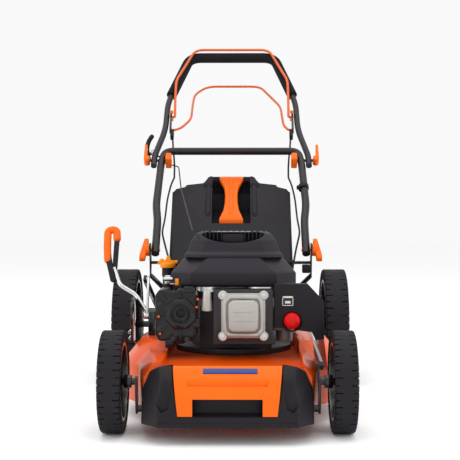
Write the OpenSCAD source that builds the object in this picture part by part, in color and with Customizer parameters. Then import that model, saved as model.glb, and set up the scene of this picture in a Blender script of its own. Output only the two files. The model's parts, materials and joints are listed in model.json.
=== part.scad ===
// Walk-behind petrol lawn mower with grass box. Millimetres, +Z up, front towards -Y.
// Inside each module Y is measured from the front wheel centre; placed() shifts it to the row's origin.

/* [Wheels] */
// Diameter of the front wheels
front_d = 200; // [190:1:210]
// Diameter of the rear wheels
rear_d = 284; // [276:1:290]
// Width of the front tyres
front_w = 45; // [40:1:48]
// Width of the rear tyres
rear_w = 58; // [50:1:60]
// Distance between the front and rear wheel centres
wheelbase = 705; // [700:1:710]

/* [Deck] */
// Radius of the blade chamber's outer wall
deck_r = 239; // [236:1:240]
// Thickness of the deck's sheet
deck_t = 3; // [2:0.5:4]
// Length of the blade, tip to tip
blade_len = 450; // [420:2:454]

/* [Engine] */
// Crankshaft's distance behind the front wheel centres
engine_y = 255; // [253:1:257]
// Crankshaft's offset to the right
engine_x = 10; // [8:1:12]

/* [Handle] */
// Slope of the handle above the horizontal
handle_angle = 45; // [44:0.5:46]
// Radius of the lower handle tube
tube_r = 10.5; // [9:0.5:11]
// Radius of the foam grip
grip_r = 15.5; // [14:0.5:16]
// Radius of the bails' rod
bail_r = 3.8; // [3:0.1:4]

/* [Hidden] */
$fn = 48;
y_front = -130;
y_rear = 1374;
y_mid = (y_front + y_rear) / 2;
orange = [0.95, 0.36, 0.05];
black = [0.12, 0.11, 0.13];
steel = [0.62, 0.63, 0.65];
cast_grey = [0.72, 0.72, 0.70];
deck_z = 38;
deck_low = 148;
deck_top = 165;
platform_z = 135;
run = 0.06;
front_x = 247;
rear_x = 295;
front_z = front_d / 2;
rear_z = rear_d / 2;
crank_y = 12;
crank_z = -55;
rear_pivot = [wheelbase + crank_y, rear_z + crank_z];
front_pivot = [crank_y, front_z + crank_z];
lug = [45, 78];
lever_pivot = [250, 205];
knob_yz = [720, 334];
leg_x = 196;
clamp_s = 345;
clamp_yz = knob_yz + clamp_s * [cos(handle_angle), sin(handle_angle)];
drive_pivot = [1070, 672];
brake_pivot = [1105, 712];
bail_x = 167;
cable_r = 2.6;

module placed() { translate([0, -y_mid, 0]) children(); }
// A cylinder along X from x0 to x1 at [y, z]
module along_x(x0, x1, yz, r) {
  translate([x0, yz[0], yz[1]]) rotate([0, 90, 0]) cylinder(h = x1 - x0, r = r);
}
module along_y(y0, y1, xz, r) {
  translate([xz[0], y0, xz[1]]) rotate([-90, 0, 0]) cylinder(h = y1 - y0, r = r);
}
// A box from its low corner to its high corner
module block(low, high) { translate(low) cube(high - low); }
module both_sides() { children(); mirror([1, 0, 0]) children(); }
function unit(v) = v / norm(v);
// A point on the handle's plane: x across, s up the slope, n out of its front
function on_handle(x, s, n = 0) = [x,
  knob_yz[0] + s * cos(handle_angle) - n * sin(handle_angle),
  knob_yz[1] + s * sin(handle_angle) + n * cos(handle_angle)];
// A corner turned into an arc of points: start, middle points and end of a quadratic curve
function bend(a, b, c, steps = 5) = [for (i = [0:steps])
  let (t = i / steps) (1 - t) * (1 - t) * a + 2 * t * (1 - t) * b + t * t * c];
// A route whose inner corners are rounded by the length cut
function rounded(p, cut, steps = 5) = concat([p[0]],
  [for (i = [1:len(p) - 2]) each bend(p[i] + cut * unit(p[i - 1] - p[i]), p[i],
    p[i] + cut * unit(p[i + 1] - p[i]), steps)],
  [p[len(p) - 1]]);
function mirrored_tail(p) = [for (i = [len(p) - 1:-1:0]) [-p[i][0], p[i][1], p[i][2]]];
// A closed tube of given radius swept along the route p
module swept(p, r, sides = 12) {
  n = len(p);
  tangent = [for (i = [0:n - 1]) unit(p[min(i + 1, n - 1)] - p[max(i - 1, 0)])];
  side = [for (t = tangent) let (up = abs(t[0]) > 0.9 ? [0, -0.6, 0.8] : [1, 0, 0]) unit(cross(t, cross(up,
    t)))];
  rings = [for (i = [0:n - 1]) for (k = [0:sides - 1])
    let (a = 360 * k / sides) p[i] + r * (cos(a) * side[i] + sin(a) * cross(tangent[i], side[i]))];
  walls = [for (i = [0:n - 2]) for (k = [0:sides - 1]) let (q = (k + 1) % sides)
    each [[i * sides + k, i * sides + q, (i + 1) * sides + q], [i * sides + k, (i + 1) * sides + q, (i + 1)
      * sides + k]]];
  ends = concat([for (k = [1:sides - 2]) [0, k + 1, k]],
    [for (k = [1:sides - 2]) (n - 1) * sides * [1, 1, 1] + [0, k, k + 1]]);
  polyhedron(points = rings, faces = [for (f = concat(walls, ends)) [f[0], f[2], f[1]]]);
}

// ---- deck ----
module rear_body(g, inset) {
  translate([engine_x, engine_y]) circle(r = deck_r - g - inset, $fn = 64);
  translate([-175 + g + inset, 640]) square([350 - 2 * (g + inset), 95 - g]);
}
module nose_body(g, inset) {
  polygon([[-160 + g + inset, -64 + g], [160 - g - inset, -64 + g], [172 - g - inset, 40],
    [190 - g - inset, 150],
    [-190 + g + inset, 150], [-172 + g + inset, 40]]);
}
// The deck's outer form, or the hollow inside it when g is the sheet's thickness
module deck_volume(g, low) {
  hull() {
    translate([0, 0, low]) linear_extrude(112 - low) rear_body(g, 0);
    translate([0, 0, deck_top - g - 1]) linear_extrude(1) rear_body(g, 42);
  }
  hull() {
    translate([0, 0, low]) linear_extrude(118 - low) nose_body(g, 0);
    translate([0, 0, deck_low - g - 1]) linear_extrude(1) nose_body(g, 22);
  }
}
// The groove along the right shoulder in which the tie rod runs
module rod_groove(g) { block([176 - g, 84 - g, 104 - g], [203 + g, 800, 200]); }
// The flats against which the handle brackets are bolted
module rear_flats(g) { both_sides() block([175 - g, 640 - g, 30], [260, 800, 200]); }
module engine_well(g) {
  translate([engine_x, engine_y, platform_z - g]) cylinder(h = 60, r = 138 + g);
}
// The lowered front of the deck's roof, so that the engine's foot stands clear above it
module front_step(g) {
  plate(-125 - g, 145 + g, [[-100, 127 - g], [0, 130 - g], [110, 136 - g], [215, 136 - g], [215, 220], [-100, 220]]);
}
module deck_shell() placed() color(orange) difference() {
  deck_volume(0, deck_z);
  rod_groove(0);
  rear_flats(0);
  front_step(0);
  engine_well(0);
  difference() {
    deck_volume(deck_t, deck_z - 5);
    rod_groove(deck_t);
    rear_flats(deck_t);
    front_step(deck_t);
    engine_well(deck_t);
  }
  translate([engine_x, engine_y, 100]) cylinder(h = 60, r = 20);
  block([-150, 720, 95], [88, 745, 150]);
  along_x(-200, 200, front_pivot, 7 + run);
  along_x(-200, 200, rear_pivot, 6 + run);
}

// ---- front bumper ----
module front_bumper() placed() color(black) difference() {
  translate([-163, 0, 0]) rotate([90, 0, 90]) linear_extrude(326)
    polygon([[y_front, 33], [-66, 33], [-66, 140], [-84, 143], [y_front + 20, 122], [y_front, 80]]);
  both_sides() translate([163, -150, 70]) rotate([0, 0, 38]) cube([60, 80, 120]);
  block([-104, -135, 58], [104, -104, 79]);
  block([-106, -135, 79], [106, -122, 200]);
}
module bumper_insert() placed() color(orange) difference() {
  block([-105.5, -129, 79.5], [105.5, -122, 136]);
  block([-72, -135, 97], [72, -126, 99]);
}

// ---- engine ----
module crankcase() placed() color(cast_grey) difference() {
  union() {
    translate([engine_x, engine_y, platform_z]) cylinder(h = 12, r = 125);
    translate([engine_x, engine_y, platform_z]) cylinder(h = 112, r = 92);
    block([-60, 150, platform_z], [90, 200, 232]);
  }
  translate([engine_x, engine_y, 100]) cylinder(h = 200, r = 12.7 + run);
}
module cylinder_fins() {
  for (i = [0:7]) block([-30, 66 + i * 10, 166], [90, 70 + i * 10, 273]);
}
module cylinder_block() placed() color([0.25, 0.25, 0.26]) difference() {
  union() {
    block([-18, 56, 178], [78, 149.5, 270]);
    cylinder_fins();
  }
  along_y(70, 152, [30, 224], 34);
}
// The cover's foot: a rounded rectangle with a bolt's ear at each corner
module cover_outline() {
  offset(8) offset(-8) {
    square([90, 96], center = true);
    square([97, 90], center = true);
  }
  for (sx = [-1, 1], sz = [-1, 1]) translate([sx * 42, sz * 42]) circle(r = 9);
}
module valve_cover() placed() color(cast_grey) translate([30, 0, 224]) rotate([90, 0, 0]) {
  translate([0, 0, -55.5]) linear_extrude(8) cover_outline();
  translate([0, 0, -48]) linear_extrude(12) offset(8) square([60, 64], center = true);
  translate([0, 0, -37]) linear_extrude(5) offset(8) square([44, 50], center = true);
}
// The shroud's plan, rounded at its front corners and cut in by g
module shroud_plan(w, y0, y1, c) {
  polygon([[-w + c, y0], [w - c, y0], [w, y0 + c], [w, y1 - c], [w - c, y1], [-w + c, y1], [-w, y1 - c],
    [-w, y0 + c]]);
}
module shroud_form(g) {
  translate([engine_x, 0, 278 - g]) linear_extrude(28) shroud_plan(131 - g, 116 + g, 398 - g, 42);
  hull() {
    translate([engine_x, 0, 305.9 - g]) linear_extrude(0.1) shroud_plan(131 - g, 116 + g, 398 - g, 42);
    translate([engine_x, 0, 338 - g]) linear_extrude(0.1) shroud_plan(101 - g, 140 + g, 370 - g, 50);
  }
  hull() {
    translate([engine_x, 0, 338 - g]) linear_extrude(0.1) shroud_plan(98 - g, 143 + g, 367 - g, 50);
    translate([engine_x, 0, 390 - g]) linear_extrude(0.1) shroud_plan(80 - g, 165 + g, 345 - g, 56);
  }
}
module engine_shroud() placed() color(black) difference() {
  shroud_form(0);
  translate([0, 0, -1]) shroud_form(2.5);
  for (i = [-5:5]) block([engine_x + i * 13 - 3, 172, 370], [engine_x + i * 13 + 3, 330, 400]);
}
module exhaust_silencer() placed() color(steel) difference() {
  block([-140, 84, 178], [-72, 149, 262]);
  along_y(80, 100, [-97, 226], 9);
}
module exhaust_guard() placed() color(black) difference() {
  block([-148, 70, 170], [-64, 152, 277]);
  block([-145, 73, 165], [-67, 160, 274]);
  along_y(60, 80, [-97, 226], 19);
}
module carburettor() placed() color(steel) {
  block([90.4, 96, 190], [128, 132, 236]);
  translate([115, 112, 168]) cylinder(h = 22, r = 17);
}
module air_filter_housing() placed() color(black) difference() {
  translate([0, 62, 0]) rotate([-90, 0, 0]) linear_extrude(33)
    polygon([[93, -287], [160, -287], [193, -252], [193, -176], [176, -174], [168, -190], [93, -200]]);
  along_y(50, 79, [128, 213], 19);
}
module fuel_tank() placed() color(black) difference() {
  block([-95, 402, 200], [118, 468, 316]);
  block([-92, 405, 203], [115, 465, 313]);
  translate([40, 435, 300]) cylinder(h = 30, r = 16);
}
module oil_filler_tube() placed() color(black) difference() {
  union() {
    swept([[-74, 262, 190], [-112, 256, 200], [-130, 252, 225], [-134, 250, 262], [-134, 250, 310.5]], 11,
      16);
    translate([-134, 250, 292]) cylinder(h = 18.5, r = 12.6);
  }
  translate([-134, 250, 280]) cylinder(h = 40, r = 8);
  translate([engine_x, engine_y, platform_z]) cylinder(h = 112, r = 92.1);
}
module spark_plug_cap() placed() color(steel) hull() {
  translate([-42, 74, 236]) rotate([90, 0, 0]) cylinder(h = 12, r = 5, $fn = 32);
  translate([-45, 74, 266]) rotate([90, 0, 0]) cylinder(h = 12, r = 9, $fn = 32);
}
module crankshaft() placed() color(steel) translate([engine_x, engine_y, 56]) cylinder(h = 250, r = 12.7);
module on_crank(z, h, r) {
  translate([engine_x, engine_y, z]) difference() {
    cylinder(h = h, r = r);
    translate([0, 0, -1]) cylinder(h = h + 2, r = 12.7);
  }
}
module flywheel() placed() color(steel) difference() {
  on_crank(262, 14, 82);
  translate([engine_x, engine_y, 268]) difference() { cylinder(h = 20, r = 76); cylinder(h = 20, r = 24); }
}
module grooved_pulley(centre, z, r, bore) {
  translate([centre[0], centre[1], z]) rotate_extrude() polygon([[bore, 0], [r, 0], [r - 6, 5], [r - 6, 9],
    [r, 14], [bore, 14]]);
}
module crank_pulley() placed() color(steel) grooved_pulley([engine_x, engine_y], 108, 30, 12.7);
module blade_adapter() placed() color(cast_grey) {
  on_crank(52, 18, 34);
  translate([engine_x, engine_y, 35]) cylinder(h = 8, r = 14, $fn = 6);
  translate([engine_x, engine_y, 43]) cylinder(h = 12.9, r = 6);
}
module blade() placed() color(steel) translate([engine_x, engine_y, 47]) difference() {
  union() {
    translate([-blade_len / 2, -27, 0]) cube([blade_len, 54, 5]);
    both_sides() translate([blade_len / 2 - 60, 12, 4]) rotate([32, 0, 0]) cube([56, 15, 3]);
  }
  translate([0, 0, -1]) cylinder(h = 10, r = 6);
}

// ---- drive ----
gear_xy = [130, 672];
module drive_belt() placed() color(black) translate([0, 0, 113.5]) linear_extrude(3) difference() {
  hull() { translate([engine_x, engine_y]) circle(r = 28); translate(gear_xy) circle(r = 38); }
  hull() { translate([engine_x, engine_y]) circle(r = 24.5); translate(gear_xy) circle(r = 34.5); }
}
module gearbox() placed() color(cast_grey) difference() {
  union() {
    block([104, 646, 62], [156, 704, 101]);
    along_x(104, 156, rear_pivot, 14);
  }
  along_x(90, 170, rear_pivot, 6 + run);
  translate([gear_xy[0], gear_xy[1], 80]) cylinder(h = 30, r = 6 + run);
}
module gearbox_pulley() placed() color(steel) {
  grooved_pulley(gear_xy, 108, 40, 6);
  translate([gear_xy[0], gear_xy[1], 82]) cylinder(h = 40, r = 6);
}
module drive_shaft() placed() color(steel) {
  along_x(-256, 256, rear_pivot, 6);
  both_sides() translate([240, rear_pivot[0], rear_pivot[1]]) rotate([0, 90, 0]) difference() {
    cylinder(h = 14, r = 11);
    translate([0, 0, -1]) cylinder(h = 16, r = 6);
  }
}

// ---- wheels, axles and height adjustment ----
module arm(x0, x1, a, b, r) {
  hull() { along_x(x0, x1, a, r); along_x(x0, x1, b, r); }
}
module front_axle() placed() color(black) {
  along_x(-182, 182, front_pivot, 7);
  both_sides() arm(178, 182, front_pivot, [0, front_z], 11);
  both_sides() along_x(181, 242, [0, front_z], 7);
  arm(178, 182, front_pivot, front_pivot + lug, 9);
  along_x(181, 192, front_pivot + lug, 4);
}
// The rear cross rod, behind the deck's rear wall at every height setting
cross_rod = rear_pivot + [32, -12];
module rear_axle() placed() color(black) difference() {
  union() {
    both_sides() arm(192, 198, rear_pivot, [wheelbase, rear_z], 13);
    both_sides() arm(192, 198, rear_pivot, rear_pivot + lug, 10);
    both_sides() arm(192, 198, rear_pivot, cross_rod, 8);
    both_sides() along_x(197, 288, [wheelbase, rear_z], 8);
    both_sides() along_x(182, 193, rear_pivot + lug, 4);
    along_x(-193, 193, cross_rod, 5);
  }
  along_x(-210, 210, rear_pivot, 6 + run);
}
module link_bar(x0, x1, a, b) {
  difference() {
    arm(x0, x1, a, b, 9);
    along_x(x0 - 1, x1 + 1, a, 4 + run);
    along_x(x0 - 1, x1 + 1, b, 4 + run);
  }
}
module tie_rod() placed() color(black) link_bar(184, 190, front_pivot + lug, rear_pivot + lug);
module height_link() placed() color(black) link_bar(-190, -184, lever_pivot + lug, rear_pivot + lug);
lever_lean = [0.5, 0.866];
function lever_at(x, r) = [x, lever_pivot[0] + r * lever_lean[0], lever_pivot[1] + r * lever_lean[1]];
lever_route = rounded([lever_at(-179, 20), lever_at(-206, 52), lever_at(-243, 76), lever_at(-258, 120)], 9,
  3);
module height_lever() placed() color(steel) {
  along_x(-182, -148, lever_pivot, 6);
  arm(-182, -177, lever_pivot, lever_pivot + lug, 8);
  along_x(-192, -181, lever_pivot + lug, 4);
  swept(lever_route, 4.5, 12);
}
module lever_grip() placed() color(orange) hull() {
  translate(lever_at(-258, 121)) rotate([-30, 0, 0]) cylinder(h = 4, r = 8, $fn = 32);
  translate(lever_at(-262, 216)) sphere(r = 15, $fn = 32);
  translate(lever_at(-266, 170)) sphere(r = 14, $fn = 32);
}
module height_bracket() placed() color(black) {
  difference() {
    union() {
      block([-175, 228, 160], [-150, 272, 205]);
      along_x(-175, -150, lever_pivot, 18);
    }
    deck_volume(0, deck_z);
    along_x(-176, -149, lever_pivot, 6 + run);
  }
  difference() {
    union() { along_x(-212, -208, lever_pivot, 42); block([-212, 218, 150], [-208, 282, 205]); }
    for (a = [-36:12:36]) along_x(-214, -206, lever_pivot + 46 * [sin(a), cos(a)], 6);
    deck_volume(0, deck_z);
    along_x(-214, -206, lever_pivot, 9);
  }
}
// A tyre with bevelled shoulders, its axis along X
module tyre(d, w, rim_r) {
  rotate([0, 90, 0]) rotate_extrude($fn = 96)
    polygon([[rim_r, 0], [d / 2 - 7, 0], [d / 2, 7], [d / 2, w - 7], [d / 2 - 7, w], [rim_r, w]]);
}
// A dished rim with a hub bored for its axle
module rim(w, rim_r, axle_r, dish) {
  rotate([0, 90, 0]) rotate_extrude($fn = 96)
    polygon([[axle_r, w * 0.3], [axle_r, w - 2], [22, w - 2], [26, w - dish], [rim_r - 14, w - dish],
      [rim_r - 8, w - 1],
      [rim_r, w - 1], [rim_r, 1], [rim_r - 6, 1], [rim_r - 8, w - dish - 6], [30, w - dish - 6], [24,
        w * 0.3]]);
}
module front_left() { translate([-front_x, 0, front_z]) mirror([1, 0, 0]) translate([-front_w, 0, 0])
  children(); }
module front_right() { translate([front_x - front_w, 0, front_z]) children(); }
module rear_left() { translate([-rear_x, wheelbase, rear_z]) mirror([1, 0, 0]) translate([-rear_w, 0, 0])
  children(); }
module rear_right() { translate([rear_x - rear_w, wheelbase, rear_z]) children(); }
module front_tyre() { tyre(front_d, front_w, front_d / 2 - 22); }
module front_rim() { rim(front_w, front_d / 2 - 22, 7 + run, 9); }
module rear_tyre() { tyre(rear_d, rear_w, rear_d / 2 - 26); }
module rear_rim() { rim(rear_w, rear_d / 2 - 26, 8 + run, 12); }
module front_tyre_left() placed() color(black) front_left() front_tyre();
module front_tyre_right() placed() color(black) front_right() front_tyre();
module front_rim_left() placed() color(black) front_left() front_rim();
module front_rim_right() placed() color(black) front_right() front_rim();
module rear_tyre_left() placed() color(black) rear_left() rear_tyre();
module rear_tyre_right() placed() color(black) rear_right() rear_tyre();
module rear_rim_left() placed() color(black) rear_left() rear_rim();
module rear_rim_right() placed() color(black) rear_right() rear_rim();

// ---- rear of the deck and grass box ----
flap_hinge = [740, 300];
// A flat plate in the YZ plane, from x0 to x1
module plate(x0, x1, outline) {
  translate([x0, 0, 0]) rotate([90, 0, 90]) linear_extrude(x1 - x0) polygon(outline);
}
module handle_brackets() placed() color(black) {
  both_sides() difference() {
    union() {
      plate(175.2, 180, [[648, 76], [735, 68], [735, 100], [750, 236], [722, 240], [700, 104], [648, 104]]);
      hull() {
        block([175.2, 721, 230], [180, 750, 240]);
        block([207.5, 718, 262], [211, 746, 272]);
      }
      plate(207.5, 211, [[718, 262], [746, 262], [738, 344], [728, 352], [712, 352], [702, 344]]);
      along_x(166, 208, flap_hinge, 4);
    }
    along_x(100, 215, rear_pivot, 6 + run);
    along_x(200, 215, knob_yz, 4 + run);
  }
}
module discharge_flap() placed() color(black) translate([0, flap_hinge[0], flap_hinge[1]]) rotate([50, 0,
  0]) difference() {
  union() {
    block([-155, 4, -2], [155, 128, 2]);
    along_x(-164, 164, [0, 0], 7);
  }
  both_sides() along_x(150, 170, [0, 0], 4 + run);
}
// The grass box's side view, cut in by g
module box_side(g) {
  polygon([[756 + g, 150 + g], [756 + g, 282 - 0.4 * g], [936 + 0.4 * g, 497 - g], [968 + 0.4 * g,
    520 - g], [1180 - 0.4 * g, 528 - g],
    [1262 - g, 490 - 0.4 * g], [1286 - g, 300], [1180 - 0.4 * g, 165 + g]]);
}
module box_form(g) {
  translate([-164 + g, 0, 0]) rotate([90, 0, 90]) linear_extrude(328 - 2 * g) box_side(g);
}
module grip_hollow(x0, x1) { block([x0, 880, 440], [x1, 1020, 560]); }
module grass_box_shell() placed() color(black) difference() {
  union() {
    box_form(0);
    hull() {
      block([-75, 950, 505], [75, 1120, 508]);
      block([-58, 985, 533], [58, 1100, 535]);
    }
  }
  difference() {
    box_form(3);
    block([-64, 860, 437], [64, 1043, 600]);
  }
  grip_hollow(-61, 61);
  block([-150, 740, 165], [150, 765, 270]);
}
module grass_box_handle() placed() color(orange) hull() {
  block([-24, 880.2, 476], [24, 884, 490]);
  block([-16, 950, 515], [16, 954, 530]);
  block([-26, 1015, 515], [26, 1019.8, 532]);
}

// ---- handle ----
lower_half = [on_handle(leg_x, -14), on_handle(leg_x, 105), on_handle(203, 167), on_handle(197, 340),
  on_handle(188, 384),
  on_handle(120, 384)];
lower_route = concat(rounded(lower_half, 20), mirrored_tail(rounded(lower_half, 20)));
upper_half = [on_handle(217.8, 322), on_handle(217.8, 362), on_handle(192, 476), on_handle(190, 601),
  on_handle(130, 819),
  on_handle(60, 819)];
upper_route = concat(rounded(upper_half, 26), mirrored_tail(rounded(upper_half, 26)));
module lower_handle() placed() color(black) {
  difference() {
    union() {
      swept(lower_route, tube_r, 16);
      swept([[-185, 994, 600], [-196, 1012, 590], [-216, 1024, 594], [-226, 1034, 606]], 2.5, 8);
    }
    along_x(-230, 230, knob_yz, 4 + run);
    along_x(-230, 230, clamp_yz, 4);
  }
  both_sides() {
    along_x(186, 229, clamp_yz, 4);
    translate([168, clamp_yz[0], clamp_yz[1]]) rotate([45, 0, 0]) translate([0, -14, -20]) cube([17.6, 28,
      40]);
  }
}
module upper_handle() placed() color(black) {
  difference() {
    swept(upper_route, 8.6, 16);
    along_x(-230, 230, clamp_yz, 4 + run);
  }
  both_sides() difference() {
    arm(175, 181, drive_pivot, brake_pivot, 10);
    along_x(170, 190, drive_pivot, bail_r + run);
    along_x(170, 190, brake_pivot, bail_r + run);
    swept(upper_route, 8.6, 16);
  }
}
grip_half = [on_handle(181, 634), on_handle(130, 819), on_handle(60, 819)];
module foam_grip() placed() color(black) difference() {
  swept(concat(rounded(grip_half, 26), mirrored_tail(rounded(grip_half, 26))), grip_r, 20);
  swept(upper_route, 8.6, 16);
}
module wing_knob() {
  along_x(184, 213, knob_yz, 4);
  along_x(212, 224, knob_yz, 16);
  hull() {
    along_x(222, 236, knob_yz + [-20, -20], 9);
    along_x(216, 226, knob_yz + [20, 20], 9);
  }
}
module wing_knob_right() placed() color(orange) wing_knob();
module wing_knob_left() placed() color(orange) mirror([1, 0, 0]) wing_knob();
module clamp_lever() {
  translate([0, clamp_yz[0], clamp_yz[1]]) rotate([handle_angle, 0, 0]) {
    translate([238.2, 0, -12]) cylinder(h = 24, r = 8.6);
    hull() { block([238, 0, -10], [246.8, 8, 10]); block([240, 56, -7], [246.8, 60, 7]); }
  }
}
module clamp_lever_right() placed() color(orange) clamp_lever();
module clamp_lever_left() placed() color(orange) mirror([1, 0, 0]) clamp_lever();
brake_half = [[bail_x, brake_pivot[0], brake_pivot[1]], [bail_x + 1, 1130, 752], [bail_x + 1, 1160, 802],
  [bail_x, 1185, 831], [114, 1291, 937], [60, 1291, 937]];
module brake_bail() placed() color(orange) {
  swept(concat(rounded(brake_half, 14, 3), mirrored_tail(rounded(brake_half, 14, 3))), bail_r, 10);
  both_sides() along_x(bail_x, 182, brake_pivot, bail_r);
}
drive_route = rounded([[-165, 1070, 672], [-148, 1084, 679], [-121, 1137, 708], [-120, 1253, 769], [-116,
  1314, 802],
  [-78, 1369, 832], [88, 1369, 832], [148, 1224, 754], [152, 1100, 688], [165, 1070, 672]], 11, 3);
module drive_bail() placed() color(orange) {
  swept(drive_route, bail_r, 10);
  both_sides() along_x(164, 182, drive_pivot, bail_r);
}

// ---- cables, rope and small controls ----
brake_upper_route = [[-171, 1056, 646], [-168, 1030, 615], [-164, 1006, 586], [-161, 975, 556], [-160, 945,
  530]];
brake_lower_route = [[-160, 944, 529], [-168, 922, 508], [-176, 890, 468], [-179, 840, 415], [-184, 790, 378],
  [-170, 720, 341], [-156, 640, 312], [-150, 540, 296], [-148, 420, 286], [-140, 330, 284]];
drive_upper_route = [for (p = brake_upper_route) [-p[0], p[1], p[2]]];
drive_lower_route = [[160, 944, 529], [168, 922, 508], [176, 890, 468], [179, 840, 415], [184, 790, 378],
  [170, 720, 336], [158, 680, 280], [150, 650, 225], [146, 640, 178]];
rope_route = [[-77, 180, 393], [-124, 620, 490], [-148, 960, 557], [-152, 1000, 562], [-204, 1030, 577],
  [-224, 1036, 588], [-230, 1038, 599]];
module brake_cable_upper() placed() color(black) swept(rounded(brake_upper_route, 9, 2), cable_r, 8);
module brake_cable_lower() placed() color(black) swept(rounded(brake_lower_route, 12, 2), cable_r, 8);
module drive_cable_upper() placed() color(black) swept(rounded(drive_upper_route, 9, 2), cable_r, 8);
module drive_cable_lower() placed() color(black) swept(rounded(drive_lower_route, 12, 2), cable_r, 8);
module starter_rope() placed() color(black) swept(rounded(rope_route, 6, 2), 1.8, 8);
module starter_handle() placed() color(black) hull() {
  translate([-240, 1036, 584]) sphere(r = 8, $fn = 24);
  translate([-240, 1060, 650]) sphere(r = 8, $fn = 24);
}
module oil_cap() placed() color([0.95, 0.6, 0.1]) translate([-134, 250, 0]) {
  translate([0, 0, 296]) cylinder(h = 16, r = 7.7);
  translate([0, 0, 311]) cylinder(h = 12, r = 17);
  hull() { translate([-22, -4, 316]) cube([44, 8, 10]); translate([-8, -4, 336]) cube([16, 8, 2]); }
}
module fuel_cap() placed() color(black) translate([40, 435, 0]) {
  translate([0, 0, 306]) cylinder(h = 12, r = 15.6);
  translate([0, 0, 316.3]) cylinder(h = 16, r = 27);
}
module primer_bulb() placed() color([0.85, 0.1, 0.08]) translate([128, 71, 213]) rotate([90, 0, 0]) {
  rotate_extrude() polygon(concat([[0, 0], [17.5, 0]], [for (a = [0:10:80]) [17.5 * cos(a),
    8 + 13 * sin(a)]], [[0, 21]]));
}

// ---- what is drawn ----
deck_shell();
front_bumper();
bumper_insert();
drive_belt();
gearbox();
handle_brackets();
height_bracket();
crankcase();
cylinder_block();
valve_cover();
engine_shroud();
exhaust_silencer();
exhaust_guard();
carburettor();
air_filter_housing();
fuel_tank();
oil_filler_tube();
spark_plug_cap();
crankshaft();
flywheel();
crank_pulley();
blade_adapter();
blade();
gearbox_pulley();
drive_shaft();
front_axle();
rear_axle();
tie_rod();
height_link();
height_lever();
lever_grip();
front_tyre_left();
front_rim_left();
front_tyre_right();
front_rim_right();
rear_tyre_left();
rear_rim_left();
rear_tyre_right();
rear_rim_right();
discharge_flap();
grass_box_shell();
grass_box_handle();
lower_handle();
wing_knob_left();
wing_knob_right();
upper_handle();
foam_grip();
clamp_lever_left();
clamp_lever_right();
brake_bail();
drive_bail();
brake_cable_upper();
brake_cable_lower();
drive_cable_upper();
drive_cable_lower();
starter_rope();
starter_handle();
oil_cap();
fuel_cap();
primer_bulb();
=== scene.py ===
# %% [markdown]
# # A walk-behind lawn mower
# This lesson keeps their places and sizes, gives every surface a finish of its own, and models the pieces that show
# most in finer detail.

# %% The frame and the tools
import json
import math
import bpy
from mathutils import Matrix, Vector


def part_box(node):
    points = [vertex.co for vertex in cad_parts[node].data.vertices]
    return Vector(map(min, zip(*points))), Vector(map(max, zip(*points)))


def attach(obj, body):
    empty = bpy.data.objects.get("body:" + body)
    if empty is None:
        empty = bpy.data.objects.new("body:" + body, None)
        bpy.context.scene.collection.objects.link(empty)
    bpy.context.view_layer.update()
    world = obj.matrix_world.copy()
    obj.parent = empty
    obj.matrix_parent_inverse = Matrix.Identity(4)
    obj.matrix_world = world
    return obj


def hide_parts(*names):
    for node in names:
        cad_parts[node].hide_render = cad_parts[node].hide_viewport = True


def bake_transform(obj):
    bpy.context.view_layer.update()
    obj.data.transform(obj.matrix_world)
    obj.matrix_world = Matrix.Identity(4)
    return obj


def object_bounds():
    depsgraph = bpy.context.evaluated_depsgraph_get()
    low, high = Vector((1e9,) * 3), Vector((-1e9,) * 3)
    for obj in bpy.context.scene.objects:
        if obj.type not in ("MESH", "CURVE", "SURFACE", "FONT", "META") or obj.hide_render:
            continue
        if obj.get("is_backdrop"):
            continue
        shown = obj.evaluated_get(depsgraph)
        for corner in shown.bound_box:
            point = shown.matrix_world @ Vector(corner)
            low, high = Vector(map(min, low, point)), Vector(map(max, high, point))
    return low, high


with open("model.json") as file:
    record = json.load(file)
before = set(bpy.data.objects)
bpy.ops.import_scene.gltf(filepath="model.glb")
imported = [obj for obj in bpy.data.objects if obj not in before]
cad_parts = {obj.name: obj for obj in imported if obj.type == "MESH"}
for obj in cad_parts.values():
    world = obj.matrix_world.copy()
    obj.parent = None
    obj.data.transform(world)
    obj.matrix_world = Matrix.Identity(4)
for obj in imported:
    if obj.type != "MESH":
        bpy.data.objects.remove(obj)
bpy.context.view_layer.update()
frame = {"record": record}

# %% [markdown]
# Everything is placed from the front wheels' centre, as a mower's maker would do, in millimetres. The helper `at`
# turns such a place into the frame's metres.

# %% Places
MM = 0.001
low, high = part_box("front_tyre_left")
AXLE_Y = (low[1] + high[1]) / 2


def at(x, y, z):
    """A place in millimetres from the front wheels' centre line, as metres in the frame."""
    return Vector((x * MM, y * MM + AXLE_Y, z * MM))


print("front wheel centre at y =", round(AXLE_Y, 4))

# %% [markdown]
# The camera stands low in front of the mower, a little to its right, and looks almost level. A long lens keeps the
# wheels from spreading. A large soft box overhead, two at the sides and a low fill light the studio.

# %% Camera, lights and floor
CAMERA_AT = at(21, -2170, 430)
AIM = Vector((-8.8, 1110, -17))
FOCAL, PICTURE_WIDTH = 1110, 460  # in the same unit, so only their ratio matters
SENSOR_MM = 36

camera = bpy.data.objects.new("camera", bpy.data.cameras.new("camera"))
bpy.context.scene.collection.objects.link(camera)
camera.location = CAMERA_AT
camera.rotation_euler = AIM.to_track_quat("-Z", "Y").to_euler()
camera.data.sensor_width = SENSOR_MM
camera.data.lens = FOCAL / PICTURE_WIDTH * SENSOR_MM
camera.data.clip_end = 60
bpy.context.scene.camera = camera


def soft_box(name, place, aim, size, power):
    """A rectangular lamp at a place, turned towards aim."""
    light = bpy.data.objects.new(name, bpy.data.lights.new(name, "AREA"))
    bpy.context.scene.collection.objects.link(light)
    light.location = place
    light.rotation_euler = (Vector(aim) - Vector(place)).to_track_quat("-Z", "Y").to_euler()
    light.data.shape = "RECTANGLE"
    light.data.size, light.data.size_y = size
    light.data.energy = power


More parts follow.
